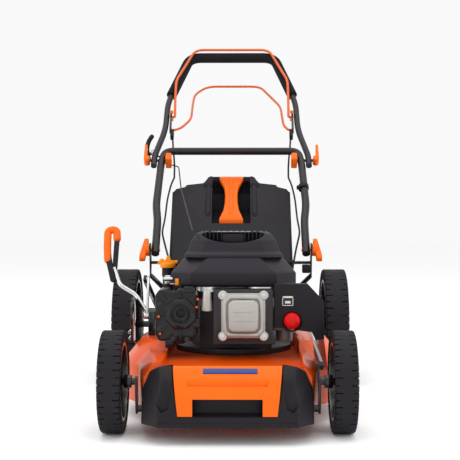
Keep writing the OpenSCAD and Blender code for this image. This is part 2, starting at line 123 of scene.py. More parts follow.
MIDDLE = (0, 0, 0.35)
soft_box("overhead", (0, -0.4, 3.0), MIDDLE, (3.4, 3.0), 40)
soft_box("left_wall", (-2.9, -1.6, 1.3), MIDDLE, (1.4, 2.4), 24)
soft_box("right_wall", (2.9, -1.6, 1.3), MIDDLE, (1.4, 2.4), 24)
soft_box("front_fill", (0.3, -4.2, 2.0), MIDDLE, (3.0, 1.6), 13)

world = bpy.data.worlds.new("studio")
bpy.context.scene.world = world
world.use_nodes = True
world.node_tree.nodes["Background"].inputs[0].default_value = (1, 1, 1, 1)
world.node_tree.nodes["Background"].inputs[1].default_value = 0.95
bpy.context.scene.view_settings.view_transform = "Standard"

FLOOR_HALF = 14
bpy.ops.object.select_all(action="DESELECT")
bpy.ops.mesh.primitive_plane_add(size=2 * FLOOR_HALF, location=(0, 0, -0.0005))
floor = bpy.context.object
floor.name = "studio_floor"
floor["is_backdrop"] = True
print("camera", tuple(round(v, 3) for v in CAMERA_AT))

# %% [markdown]
# ## Finishes
# One function makes a finish from a base colour, a fine grain and a coarse mottle. The grain drives both roughness
# and bump, as moulded plastic, cast metal or rubber have it. Layered colour noise stands for dust and wear.


# %% A finish with grain
def finish(name, colour, rough=0.5, metal=0.0, grain=900, bump=0.15, mottle=0.12, mottle_scale=14, coat=0.0,
           spread=0.08, stretch=(1, 1, 1), shine=0.16):
    """A finish whose grain drives roughness and bump, with a broad mottle in its colour."""
    mat = bpy.data.materials.new(name)
    mat.use_nodes = True
    tree = mat.node_tree
    shader = tree.nodes["Principled BSDF"]
    new, link = tree.nodes.new, tree.links.new
    place = new("ShaderNodeTexCoord")
    turn = new("ShaderNodeMapping")
    turn.inputs["Scale"].default_value = stretch
    link(place.outputs["Object"], turn.inputs["Vector"])
    fine = new("ShaderNodeTexNoise")
    fine.inputs["Scale"].default_value = grain
    fine.inputs["Detail"].default_value = 3
    link(turn.outputs["Vector"], fine.inputs["Vector"])
    broad = new("ShaderNodeTexNoise")
    broad.inputs["Scale"].default_value = mottle_scale
    broad.inputs["Detail"].default_value = 5
    link(place.outputs["Object"], broad.inputs["Vector"])
    tint = new("ShaderNodeValToRGB")
    tint.color_ramp.elements[0].position = 0.3
    tint.color_ramp.elements[1].position = 0.75
    tint.color_ramp.elements[0].color = [c * (1 - mottle) for c in colour] + [1]
    tint.color_ramp.elements[1].color = [min(1, c * (1 + mottle)) for c in colour] + [1]
    link(broad.outputs["Fac"], tint.inputs["Fac"])
    link(tint.outputs["Color"], shader.inputs["Base Color"])
    gloss = new("ShaderNodeMapRange")
    gloss.inputs["To Min"].default_value = max(0.03, rough - spread)
    gloss.inputs["To Max"].default_value = min(1, rough + spread)
    link(fine.outputs["Fac"], gloss.inputs["Value"])
    link(gloss.outputs["Result"], shader.inputs["Roughness"])
    relief = new("ShaderNodeBump")
    relief.inputs["Strength"].default_value = bump
    relief.inputs["Distance"].default_value = 0.0004
    link(fine.outputs["Fac"], relief.inputs["Height"])
    link(relief.outputs["Normal"], shader.inputs["Normal"])
    shader.inputs["Metallic"].default_value = metal
    shader.inputs["Specular IOR Level"].default_value = 0.5 if metal else shine
    shader.inputs["Coat Weight"].default_value = coat
    shader.inputs["Coat Roughness"].default_value = 0.06
    return mat


# %% [markdown]
# The deck's paint is a metallic orange under lacquer: tiny bright flakes sit in a deep base, and a clear coat gives
# the sharp highlights. The flakes are the cells of a very fine Voronoi pattern.


# %% Metallic deck paint
def flake_paint(name, colour, flake):
    """Metallic paint: bright flakes in a deep base, under a clear coat."""
    mat = finish(name, colour, rough=0.34, grain=2600, bump=0.02, mottle=0.06, coat=0.22, spread=0.05)
    tree = mat.node_tree
    shader = tree.nodes["Principled BSDF"]
    base = shader.inputs["Base Color"].links[0].from_socket
    cells = tree.nodes.new("ShaderNodeTexVoronoi")
    cells.inputs["Scale"].default_value = 1500
    place = [n for n in tree.nodes if n.type == "TEX_COORD"][0]
    tree.links.new(place.outputs["Object"], cells.inputs["Vector"])
    pick = tree.nodes.new("ShaderNodeMapRange")
    pick.inputs["From Min"].default_value = 0.75
    pick.inputs["To Max"].default_value = 0.6
    tree.links.new(cells.outputs["Color"], pick.inputs["Value"])
    mix = tree.nodes.new("ShaderNodeMix")
    mix.data_type = "RGBA"
    mix.inputs[7].default_value = list(flake) + [1]
    tree.links.new(pick.outputs["Result"], mix.inputs[0])
    tree.links.new(base, mix.inputs[6])
    tree.links.new(mix.outputs[2], shader.inputs["Base Color"])
    return mat


print("paint ready")

# %% [markdown]
# ## The palette
# Each material of the mower gets one finish here. The blacks differ slightly in colour, gloss and grain, so that
# moulded cowl, blown box, painted tube and rubber can be told apart.

# %% Palette
CHARCOAL = (0.011, 0.0095, 0.0125)
deck_paint = flake_paint("deck_paint", (0.66, 0.070, 0.002), (0.88, 0.16, 0.010))
orange_plastic = finish("orange_plastic", (0.80, 0.122, 0.002), rough=0.38, grain=1400, bump=0.06, mottle=0.05)
orange_rod = finish("orange_rod", (0.62, 0.10, 0.012), rough=0.32, grain=1500, bump=0.02, mottle=0.05, coat=0.3)
black_plastic = finish("black_plastic", CHARCOAL, rough=0.46, grain=1100, bump=0.22, mottle=0.14)
shroud_plastic = finish("shroud_plastic", (0.017, 0.0145, 0.019), rough=0.38, grain=1300, bump=0.16, mottle=0.10)
box_plastic = finish("box_plastic", (0.015, 0.013, 0.017), rough=0.5, grain=800, bump=0.3, mottle=0.12)
black_paint = finish("black_paint", (0.006, 0.0055, 0.007), rough=0.27, grain=700, bump=0.05, mottle=0.1, coat=0.6)
tube_paint = finish("tube_paint", (0.012, 0.010, 0.013), rough=0.34, grain=1600, bump=0.10, mottle=0.1, coat=0.25)
hot_black = finish("exhaust_black", (0.010, 0.009, 0.010), rough=0.30, grain=500, bump=0.35, mottle=0.3, coat=0.3)
tyre_rubber = finish("tyre_rubber", (0.013, 0.0115, 0.0145), rough=0.62, grain=700, bump=0.3, mottle=0.18)
foam = finish("grip_foam", (0.009, 0.008, 0.010), rough=0.88, grain=2200, bump=0.8, mottle=0.2, spread=0.1)
sheath = finish("cable_sheath", (0.012, 0.011, 0.012), rough=0.42, grain=1500, bump=0.1)
rope_finish = finish("rope_cord", (0.05, 0.048, 0.052), rough=0.8, grain=1800, bump=1.0, mottle=0.3,
                     stretch=(1, 1, 0.4))
cast_alloy = finish("cast_alloy", (0.42, 0.41, 0.385), rough=0.40, metal=0.6, grain=1500, bump=0.45, mottle=0.08)
dark_cast = finish("dark_cast", (0.035, 0.033, 0.036), rough=0.5, metal=0.5, grain=900, bump=0.5, mottle=0.2)
grey_cast = finish("grey_cast", (0.14, 0.135, 0.135), rough=0.48, metal=0.6, grain=900, bump=0.6, mottle=0.15)
bright_steel = finish("bright_steel", (0.52, 0.52, 0.52), rough=0.24, metal=1.0, grain=500, bump=0.1,
                      mottle=0.06, stretch=(0.1, 1, 1))
blade_steel = finish("blade_steel", (0.05, 0.05, 0.055), rough=0.5, metal=0.6, grain=400, bump=0.4, mottle=0.25)
yellow_plastic = finish("yellow_plastic", (0.80, 0.25, 0.006), rough=0.36, grain=1200, bump=0.08, mottle=0.05)
red_rubber = finish("red_rubber", (0.58, 0.006, 0.007), rough=0.33, grain=1500, bump=0.08, mottle=0.06)
blue_badge = finish("blue_badge", (0.003, 0.022, 0.16), rough=0.22, grain=900, bump=0.02, mottle=0.05, coat=0.7)
pale_print = finish("pale_print", (0.62, 0.60, 0.56), rough=0.4, grain=900, bump=0.03, mottle=0.05)
# painted shade: a near-black finish for the shadow inside the cowl's air slot
painted_slot_shade = finish("vent_shadow", (0.006, 0.005, 0.006), rough=0.8, grain=500, bump=0.2)
floor_finish = finish("studio_paper", (0.985, 0.985, 0.985), rough=0.75, grain=60, bump=0.02, mottle=0.01)
floor.data.materials.append(floor_finish)
print("finishes made:", len(bpy.data.materials))

# %% [markdown]
# ## Helpers: a mesh and its edges
# These do what is done by hand after every shape: pick the object, merge doubled points, turn the normals outward and
# round the edges with a bevel modifier. A small rounding on each edge is what catches the light.

# %% Mesh and edges
def only(obj):
    """Make obj the one selected and active object."""
    bpy.ops.object.select_all(action="DESELECT")
    obj.select_set(True)
    bpy.context.view_layer.objects.active = obj


def apply_modifiers(obj):
    """Bake every modifier into the mesh."""
    only(obj)
    for mod in list(obj.modifiers):
        bpy.ops.object.modifier_apply(modifier=mod.name)


def smooth(obj, degrees=32):
    """Shade smooth, except across edges sharper than this."""
    only(obj)
    bpy.ops.object.shade_smooth_by_angle(angle=math.radians(degrees))


def start_mesh(name, verts, edges, faces):
    """A new object from bare points, edges and faces."""
    mesh = bpy.data.meshes.new(name)
    mesh.from_pydata(verts, edges, faces)
    obj = bpy.data.objects.new(name, mesh)
    bpy.context.scene.collection.objects.link(obj)
    only(obj)
    return obj


def clean(obj):
    """Merge doubled points and turn all normals outward."""
    only(obj)
    bpy.ops.object.mode_set(mode="EDIT")
    bpy.ops.mesh.select_all(action="SELECT")
    bpy.ops.mesh.remove_doubles(threshold=0.00002)
    bpy.ops.mesh.normals_make_consistent(inside=False)
    bpy.ops.object.mode_set(mode="OBJECT")


def rounded_edges(obj, width, segments=2, angle=32):
    """Bevel the edges sharper than angle, by a width in millimetres."""
    if width:
        mod = obj.modifiers.new("rounding", "BEVEL")
        mod.width = width * MM
        mod.segments = segments
        mod.limit_method = "ANGLE"
        mod.angle_limit = math.radians(angle)
        apply_modifiers(obj)
    smooth(obj)
    return obj


print("mesh helpers ready")

# %% [markdown]
# ## Helpers: solids from outlines
# An outline is extruded, a profile is spun round an axis, and a row of plans is lofted. Nearly every part of a mower
# is pressed, turned or moulded, so these few ways of making a solid cover almost all of it.

# %% Solids
def extruded(name, outline, axis, start, depth, edge=0.0, segments=2):
    """An outline in the plane across axis, extruded along it: (y, z), (x, z) or (x, y) points for x, y or z."""
    order = {"x": lambda a, b: (start, a, b), "y": lambda a, b: (a, start, b), "z": lambda a, b: (a, b, start)}
    verts = [at(*order[axis](a, b)) for a, b in outline]
    obj = start_mesh(name, verts, [], [list(range(len(verts)))])
    push = {"x": (depth, 0, 0), "y": (0, depth, 0), "z": (0, 0, depth)}[axis]
    bpy.ops.object.mode_set(mode="EDIT")
    bpy.ops.mesh.select_all(action="SELECT")
    bpy.ops.mesh.extrude_region_move(TRANSFORM_OT_translate={"value": [v * MM for v in push]})
    bpy.ops.object.mode_set(mode="OBJECT")
    clean(obj)
    return rounded_edges(obj, edge, segments)


def slab(name, lo, hi, edge=1.0, segments=2):
    """A box between two corners."""
    outline = [(lo[0], lo[2]), (hi[0], lo[2]), (hi[0], hi[2]), (lo[0], hi[2])]
    return extruded(name, outline, "y", lo[1], hi[1] - lo[1], edge, segments)


def spun(name, profile, centre, axis="x", steps=64, edge=0.0, closed=True):
    """A profile of (radius, distance along the axis) points, spun all round the axis through centre."""
    frames = {"x": lambda r, t: (t, 0, r), "y": lambda r, t: (r, t, 0), "z": lambda r, t: (r, 0, t)}
    verts = [at(*[c + d for c, d in zip(centre, frames[axis](r, t))]) for r, t in profile]
    count = len(verts)
    links = [(i, i + 1) for i in range(count - 1)] + ([(count - 1, 0)] if closed else [])
    obj = start_mesh(name, verts, links, [])
    bpy.ops.object.mode_set(mode="EDIT")
    bpy.ops.mesh.select_all(action="SELECT")
    pole = {"x": (1, 0, 0), "y": (0, 1, 0), "z": (0, 0, 1)}[axis]
    bpy.ops.mesh.spin(steps=steps, angle=2 * math.pi, center=at(*centre), axis=pole)
    bpy.ops.object.mode_set(mode="OBJECT")
    clean(obj)
    return rounded_edges(obj, edge)


BOLT_SIDES = 6


def rounded_rect(cx, cz, wide, high, radius, steps=5):
    """A rectangle's outline with round corners, about its centre."""
    points = []
    for sx, sz, start in ((1, 1, 0), (-1, 1, 90), (-1, -1, 180), (1, -1, 270)):
        for k in range(steps + 1):
            a = math.radians(start + 90 * k / steps)
            points.append((cx + sx * (wide / 2 - radius) + radius * math.cos(a),
                           cz + sz * (high / 2 - radius) + radius * math.sin(a)))
    return points


def loft(name, rings, edge=0.0, segments=2, angle=32):
    """A solid through a row of rings, each a list of the same number of points in millimetres."""
    n = len(rings[0])
    verts = [at(*p) for ring in rings for p in ring]
    faces = [list(range(n)), list(range((len(rings) - 1) * n, len(rings) * n))]
    for r in range(len(rings) - 1):
        faces += [[r * n + k, r * n + (k + 1) % n, (r + 1) * n + (k + 1) % n, (r + 1) * n + k] for k in range(n)]
    obj = start_mesh(name, verts, [], faces)
    clean(obj)
    return rounded_edges(obj, edge, segments, angle)


def wrapped(name, points, edge, segments=2, angle=25):
    """The tightest solid round a set of points, with its edges rounded."""
    obj = start_mesh(name, [at(*p) for p in points], [], [])
    bpy.ops.object.mode_set(mode="EDIT")
    bpy.ops.mesh.select_all(action="SELECT")
    bpy.ops.mesh.convex_hull()
    bpy.ops.object.mode_set(mode="OBJECT")
    clean(obj)
    return rounded_edges(obj, edge, segments, angle)


def hex_bolt(name, x, y, z, radius=4.5, tall=4, axis="y"):
    """A six-sided head with a washer under it, standing towards the front from y."""
    washer = spun(name + "_washer", [(0, 0), (radius * 1.5, 0), (radius * 1.5, -1), (0, -1)], (x, y, z), axis, 24,
                  closed=False)
    head = spun(name + "_head", [(0, -0.8), (radius, -0.8), (radius, -tall + 0.6), (radius - 0.7, -tall), (0, -tall)],
                (x, y, z), axis, BOLT_SIDES, closed=False)
    smooth(head, 20)
    return join(name, [washer, head])


print("solid helpers ready")

# %% [markdown]
# ## Helpers: tubes, joining and carving
# A route in millimetres becomes a bent tube by way of a curve. Parts are joined into one object, and a boolean
# modifier carves hollows and holes, as a tool or a mould's core would.

# %% Tubes and carving
def rounded(points, cut, steps=6):
    """A route in millimetres whose inner corners are turned into short curves."""
    pts = [Vector(p) for p in points]
    out = [pts[0]]
    for a, b, c in zip(pts, pts[1:], pts[2:]):
        near = min(cut, 0.48 * (a - b).length, 0.48 * (c - b).length)
        p, q = b + (a - b).normalized() * near, b + (c - b).normalized() * near
        for i in range(steps + 1):
            t = i / steps
            out.append((1 - t) ** 2 * p + 2 * t * (1 - t) * b + t * t * q)
    return out + [pts[-1]]


def mirrored(points):
    """A route on the other side, run backwards."""
    return [(-p[0], p[1], p[2]) for p in reversed(points)]


def tube(name, points, radius, sides=24):
    """A round tube along a route in millimetres, made from a curve and turned into a mesh."""
    data = bpy.data.curves.new(name, "CURVE")
    data.dimensions = "3D"
    data.bevel_depth = radius * MM
    data.bevel_resolution = max(1, sides // 4 - 1)
    data.use_fill_caps = True
    line = data.splines.new("POLY")
    line.points.add(len(points) - 1)
    for spot, p in zip(line.points, points):
        spot.co = (*at(*p), 1)
    obj = bpy.data.objects.new(name, data)
    bpy.context.scene.collection.objects.link(obj)
    only(obj)
    bpy.ops.object.convert(target="MESH")
    obj = bpy.context.object
    clean(obj)
    smooth(obj, 40)
    return obj


def ball(name, centre, radius, steps):
    """A ball that rounds the end of a tube."""
    arc = [(radius * math.cos(math.radians(a)), radius * math.sin(math.radians(a))) for a in range(-90, 91, 15)]
    return spun(name, arc, centre, "z", steps, closed=False)


def join(name, parts):
    """Join parts into one object."""
    bpy.ops.object.select_all(action="DESELECT")
    for part in parts:
        part.select_set(True)
    bpy.context.view_layer.objects.active = parts[0]
    bpy.ops.object.join()
    parts[0].name = name
    return parts[0]


def carve(obj, cutters):
    """Cut the cutters out of obj and delete them."""
    for cutter in cutters:
        mod = obj.modifiers.new("carve", "BOOLEAN")
        mod.operation = "DIFFERENCE"
        mod.solver = "EXACT"
        mod.object = cutter
    apply_modifiers(obj)
    for cutter in cutters:
        bpy.data.objects.remove(cutter, do_unlink=True)
    return obj


print("tube helpers ready")

# %% [markdown]
# ## Helpers: finishing a piece
# Each finished piece gets a material, rides on one body and hides the CAD nodes it stands for. A CAD node that only
# needs softer edges is copied, merged and bevelled instead of being modelled afresh.

# %% Finishing a piece
def softened(node, width, material, angle=30, segments=2):
    """A copy of a CAD node with its triangles merged and its edges rounded, which then stands for the node."""
    source = bpy.data.objects[node]
    mesh = source.data.copy()
    obj = bpy.data.objects.new(node + "_fine", mesh)
    bpy.context.scene.collection.objects.link(obj)
    obj.data.materials.clear()
    clean(obj)
    flat = obj.modifiers.new("flat", "DECIMATE")
    flat.decimate_type = "DISSOLVE"
    flat.angle_limit = math.radians(1.5)
    apply_modifiers(obj)
    rounded_edges(obj, width, segments, angle)
    return finished(obj, material, node_body[node], [node])


node_body = {n: b for b, ns in frame["record"]["behaviour"]["bodies"].items() for n in ns}
node_slot = {s["node"]: s["material_slot"] for s in frame["record"]["subparts"]}
made = []


def finished(obj, material, body, replaces=()):
    """Give a piece its finish and its body, and hide the CAD nodes it stands for."""
    obj.data.materials.clear()
    obj.data.materials.append(material)
    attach(obj, body)
    if replaces:
        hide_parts(*replaces)
    made.append(obj.name)
    return obj


# %% [markdown]
# ## The frame's own pieces
# Every node first gets a finish of its own. Those that aren't modelled afresh further down, such as the blade, the
# crankshaft and the axles, keep the engineer's shape.

# %% Finishes on the frame's nodes
SLOT_FINISH = {
    "orange_paint": deck_paint, "orange_plastic": orange_plastic, "orange_rod": orange_rod,
    "black_plastic": black_plastic, "rim_plastic": black_paint, "black_paint": black_paint,
    "tyre_rubber": tyre_rubber, "foam": foam, "belt_rubber": tyre_rubber, "cable_sheath": sheath,
    "rope_cord": rope_finish, "cast_alloy": grey_cast, "fin_alloy": dark_cast, "bright_steel": bright_steel,
    "blade_steel": blade_steel, "yellow_plastic": yellow_plastic, "red_rubber": red_rubber,
}
for name, slot in node_slot.items():
    data = bpy.data.objects[name].data
    data.materials.clear()
    data.materials.append(SLOT_FINISH[slot])
print("finished", len(node_slot), "nodes")

# %% [markdown]
# ## Tyres
# A mower's tyre has a round shoulder and two rows of rubber blocks parted by cross slots, long and short by turns.
# The carcass is a spun profile; one block is modelled on it and repeated round the wheel, so the slots are real gaps.


# %% Tyres
def wheel_sizes(node):
    """The centre, radius and half width of a round CAD node about x, in millimetres."""
    lo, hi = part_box(node)
    centre = [(lo[0] + hi[0]) / 2 / MM, (lo[1] + hi[1]) / 2 / MM - AXLE_Y / MM, (lo[2] + hi[2]) / 2 / MM]
    return centre, (hi[2] - lo[2]) / 2 / MM, (hi[0] - lo[0]) / 2 / MM


def tread_block(radius, deep, half_arc, inner, outer, shoulder):
    """The points and faces of one block of tread: inner and outer are its ends across the tyre."""
    side = 1 if outer > inner else -1
    profile = [(radius - deep, inner), (radius, inner), (radius, outer - side * shoulder * 0.8),
               (radius - shoulder * 0.35, outer - side * shoulder * 0.25), (radius - shoulder, outer),
               (radius - shoulder * 2.4, outer), (radius - shoulder * 2.4, outer - side * 2.5)]
    verts, steps = [], (-half_arc, 0, half_arc)
    for turn in steps:
        verts += [(across, r * math.sin(turn), r * math.cos(turn)) for r, across in profile]
    n = len(profile)
    faces = [list(range(n)), list(range(2 * n, 3 * n))]
    for ring in range(2):
        faces += [[ring * n + k, ring * n + (k + 1) % n, (ring + 1) * n + (k + 1) % n, (ring + 1) * n + k]
                  for k in range(n)]
    return verts, faces


def tyre(node, blocks):
    """A carcass, a centre band and a ring of tread blocks, fitted to the CAD tyre's box."""
    centre, radius, half = wheel_sizes(node)
    wall = 22 if radius < 120 else 26
    deep, inner_r = 3.2, radius - wall
    carcass = [(inner_r, -half + 1), (inner_r + 5, -half + 1), (radius - 9, -half + 1.2),
               (radius - deep - 2, -half + 4), (radius - deep, -half + 8), (radius - deep, half - 8),
               (radius - deep - 2, half - 4),
               (radius - 9, half - 1.2), (inner_r + 5, half - 1), (inner_r, half - 1)]
    body = spun(node + "_carcass", carcass, centre, "x", 96)
    band = spun(node + "_band", [(radius - deep - 1, -3.5), (radius - 0.2, -3.5), (radius - 0.2, 3.5),
                                 (radius - deep - 1, 3.5)], centre, "x", 96)
    step = 2 * math.pi / blocks
    verts, faces = [], []
    for k in range(blocks):
        for side in (-1, 1):
            short = (k + (side > 0)) % 2 == 0
            points, walls = tread_block(radius, deep + 1, step * 0.405, side * 3.4, side * (half - 0.1), 4.5)
            filler, fill_walls = tread_block(radius - 0.2, deep, step * 0.12, side * 3.4,
                                             side * (half * 0.62 if short else half * 0.36), 0.1)
            for part, shape, shift in ((points, walls, 0), (filler, fill_walls, step / 2)):
                turn = Matrix.Rotation(k * step + shift, 4, "X")
                base = len(verts)
                verts += [at(*(Vector(centre) + turn @ Vector(p))) for p in part]
                faces += [[base + i for i in face] for face in shape]
    lugs = start_mesh(node + "_blocks", verts, [], faces)
    clean(lugs)
    smooth(lugs, 30)
    return finished(join(node + "_treaded", [body, band, lugs]), tyre_rubber, node_body[node], [node])


for side in ("left", "right"):
    tyre(f"front_tyre_{side}", 44)
    tyre(f"rear_tyre_{side}", 50)
print("tyres:", [n for n in made if "tyre" in n])

# %% [markdown]
# ## Rims
# Each rim is a moulded plastic dish with ribs between hub and bead, a bright trim ring and a hub cap over the axle's
# end. The dish is spun; the ribs are extruded slabs turned about the hub.


# %% Rims
def turned(obj, centre, degrees):
    """Turn a mesh about an axis along x through centre."""
    pivot = at(*centre)
    obj.data.transform(Matrix.Translation(pivot) @ Matrix.Rotation(math.radians(degrees), 4, "X")
                       @ Matrix.Translation(-pivot))
    return obj


def rim(node, ribs):
    """A dish with ribs, a trim ring, an inner bead and a hub cap, fitted to the CAD rim's box."""
    centre, radius, half = wheel_sizes(node)
    out = 1 if centre[0] > 0 else -1

    def ring_round(name, profile, steps, closed=True):
        return spun(node + name, [(r, out * t) for r, t in profile], centre, "x", steps, closed=closed)

    bore = 7.4 if radius < 90 else 8.4
    dish = [(bore, -half * 0.4), (21, -half * 0.4), (23, half - 14), (30, half - 16), (radius - 17, half - 16),
            (radius - 12, half - 6), (radius - 5, half - 3), (radius - 0.3, half - 1), (radius - 0.3, -half + 1),
            (radius - 5, -half + 1), (radius - 8, half - 9), (radius - 15, half - 20), (30, half - 20),
            (26, half - 12), (20, half - 4), (bore, half - 4)]
    parts = [ring_round("_dish", dish, 72)]
    for k in range(ribs):
        x0 = centre[0] + out * (half - 16.5)
        rib = extruded(node + "_rib", [(centre[1] - 4, centre[2] + 22), (centre[1] + 4, centre[2] + 22),
                                       (centre[1] + 2.5, centre[2] + radius - 12),
                                       (centre[1] - 2.5, centre[2] + radius - 12)], "x", x0, out * 9, 1.2)
        parts.append(turned(rib, centre, 360 * k / ribs))
    finished(join(node + "_moulded", parts), black_paint, node_body[node], [node])
    ring = [(radius - 13, half - 7.5), (radius - 5.5, half - 2.4), (radius - 4.5, half - 4), (radius - 12, half - 9)]
    finished(ring_round("_trim", ring, 72), bright_steel, node_body[node])
    inner = [(radius - 7, -half + 0.6), (radius - 1.5, -half + 0.6), (radius - 1.5, -half + 3),
             (radius - 7, -half + 3)]
    finished(ring_round("_bead", inner, 72), bright_steel, node_body[node])
    cap = [(0, half - 0.6), (12, half - 0.8), (19, half - 3), (20, half - 8), (0, half - 8)]
    finished(ring_round("_hub_cap", cap, 40, closed=False), orange_plastic, node_body[node])


for side in ("left", "right"):
    rim(f"front_rim_{side}", 8)
    rim(f"rear_rim_{side}", 10)
print("rims made")

# %% [markdown]
# ## Handle, grip and bails
# The handle is bent steel tube. Its route is the frame's own: straight legs and short bends lying in one slanting
# plane. The foam grip is a fatter tube over the top, and the bails are thin rods that follow the handle's outline.

# %% Handle and bails
SLOPE = math.radians(45)
KNOB = (720, 334)


def on_handle(x, s, n=0):
    """A place s up the handle's slope from the lower knobs, and n off its plane."""
    return (x, KNOB[0] + s * math.cos(SLOPE) - n * math.sin(SLOPE),
            KNOB[1] + s * math.sin(SLOPE) + n * math.cos(SLOPE))


def loop(half, cut):
    """A whole round-cornered loop from its left half."""
    return rounded(half + mirrored(half), cut, 8)


LOWER = [on_handle(196, -14), on_handle(196, 105), on_handle(203, 167), on_handle(197, 340), on_handle(188, 384),
         on_handle(120, 384)]
UPPER = [on_handle(217.8, 322), on_handle(217.8, 362), on_handle(192, 476), on_handle(190, 601), on_handle(130, 819),
         on_handle(60, 819)]
GRIP = [on_handle(181, 634), on_handle(130, 819), on_handle(60, 819)]
CLAMP = on_handle(0, 345)
lower = tube("lower_handle_tube", loop(LOWER, 22), 10.5, 32)
guide_run = [(-185, 994, 600), (-196, 1012, 590), (-216, 1024, 594), (-226, 1034, 606)]
guide = tube("rope_guide_wire", rounded(guide_run, 8), 2.5, 12)
parts = [lower, guide]
for side in (-1, 1):
    parts.append(spun("clamp_bolt", [(0, 0), (4, 0), (4, 44), (0, 44)],
                      (186 if side > 0 else -230, CLAMP[1], CLAMP[2]), "x", 24, closed=False))
finished(join("lower_handle_fine", parts), tube_paint, "lower_handle", ["lower_handle"])
finished(tube("upper_handle_tube", loop(UPPER, 40), 8.6, 32), tube_paint, "upper_handle", ["upper_handle"])
finished(tube("grip_sleeve", loop(GRIP, 40), 15.3, 40), foam, "upper_handle", ["foam_grip"])
for side in (-1, 1):
    plate = tube("bail_plate", [(side * 178, 1070, 672), (side * 178, 1105, 712)], 3, 12)
    finished(plate, black_paint, "upper_handle")
    name = "left" if side < 0 else "right"
    lug = extruded(f"bail_bracket_{name}", [(1060, 662), (1076, 660), (1092, 690), (1116, 704), (1114, 722),
                                            (1100, 724), (1072, 694), (1058, 676)], "x", side * 175.2, side * 5.6, 1)
    finished(lug, black_paint, "upper_handle")
BRAKE = [(182, 1105, 712), (167, 1105, 712), (168, 1130, 752), (168, 1160, 802), (167, 1185, 831), (114, 1291, 937),
         (60, 1291, 937)]
DRIVE = [(-180, 1070, 672), (-165, 1070, 672), (-148, 1084, 679), (-121, 1137, 708), (-120, 1253, 769),
         (-116, 1314, 802), (-78, 1369, 832), (88, 1369, 832), (148, 1224, 754), (152, 1100, 688), (165, 1070, 672),
         (180, 1070, 672)]
finished(tube("brake_bail_rod", loop(BRAKE, 34), 3.75, 16), orange_rod, "brake_bail", ["brake_bail"])
finished(tube("drive_bail_rod", rounded(DRIVE, 30, 8), 3.6, 16), orange_rod, "drive_bail", ["drive_bail"])
print("handle made")

# %% [markdown]
# ## Front bumper
# The bumper is one black moulding. Its two cheeks are faceted blocks swept back towards the wheels, with a shallow
# scoop in each, and a low lip joins them. The orange insert is a bent sheet cut to an upside-down U with a recess.

# %% Bumper
def cheek(side):
    """One faceted cheek with its scoop."""
    corners = [(90, -129, 33), (128, -129, 33), (163, -88, 33), (163, -66, 33), (90, -66, 33), (90, -129, 54),
               (131, -127.5, 58), (162, -86, 60), (103, -117, 120), (124, -115, 116), (155, -82, 106), (163, -66, 96),
               (104, -97, 142), (130, -92, 142), (147, -74, 130), (148, -66, 130), (104, -66, 143)]
    body = wrapped("cheek", [(side * x, y, z) for x, y, z in corners], 2.6, 3, 14)
    scoop = [(110, 66), (123, 60), (139, 84), (137, 112), (126, 128), (112, 126), (104, 104)]
    cutter = extruded("scoop", [(side * x, z) for x, z in scoop], "y", -150, 31)
    return rounded_edges(carve(body, [cutter]), 0.8, 2, 30)


core = [(-129, 33), (-66, 33), (-66, 140), (-90, 140), (-110, 117), (-122, 88), (-108, 84), (-106, 57), (-129, 53)]
middle = extruded("bumper_core", core, "x", -100, 200, 1.5)
lip = extruded("bumper_lip", [(-129.9, 34), (-124, 31.5), (-70, 31.5), (-70, 40), (-129.9, 42)], "x", -131, 262, 1.2)
finished(join("bumper_moulding", [cheek(1), cheek(-1), middle, lip]), black_plastic, "deck", ["front_bumper"])

sheet = [(-129.8, 54), (-129.8, 86), (-117, 120), (-98, 141), (-92, 143.5), (-89, 140), (-111, 116), (-124, 84),
         (-124, 54)]
insert = extruded("insert_sheet", sheet, "x", -102, 204)
cuts = [slab("leg_gap", (-65, -140, 40), (65, -100, 86), 0),
        extruded("upper_recess", [(-74, 108), (74, 108), (80, 127), (-80, 127)], "y", -140, 24.5)]
for side in (-1, 1):
    cuts.append(extruded("slant", [(side * 91, 40), (side * 120, 40), (side * 120, 146), (side * 103, 146)], "y",
                         -150, 90))
finished(rounded_edges(carve(insert, cuts), 1.3, 3), orange_plastic, "deck", ["bumper_insert"])
floor_plate = extruded("insert_floor", [(-114, 106), (-106, 128), (-103, 126), (-111, 104)], "x", -78, 156, 0.5)
finished(floor_plate, orange_plastic, "deck")
badge_side = [(-107.9, 130), (-99.3, 139.1), (-99.9, 139.7), (-108.5, 130.6)]
badge = extruded("badge", badge_side, "x", -46, 102, 0.25)
finished(badge, blue_badge, "deck")
print("bumper made")

# %% [markdown]
# ## Engine cowl
# The cowl is a pressed lower skirt, a faceted slope and a cap on top with a smiling air slot in its front edge. Each
# storey is lofted through plans with cut corners, and thin blades stand in the slot in front of a near-black sheet of
# painted shade.


# %% Cowl
def plan(half, y0, y1, cut, z):
    """A rectangle with cut corners at height z, about the engine's middle."""
    x0, x1 = 10 - half, 10 + half
    return [(x0 + cut, y0, z), (x1 - cut, y0, z), (x1, y0 + cut, z), (x1, y1 - cut, z), (x1 - cut, y1, z),
            (x0 + cut, y1, z), (x0, y1 - cut, z), (x0, y0 + cut, z)]


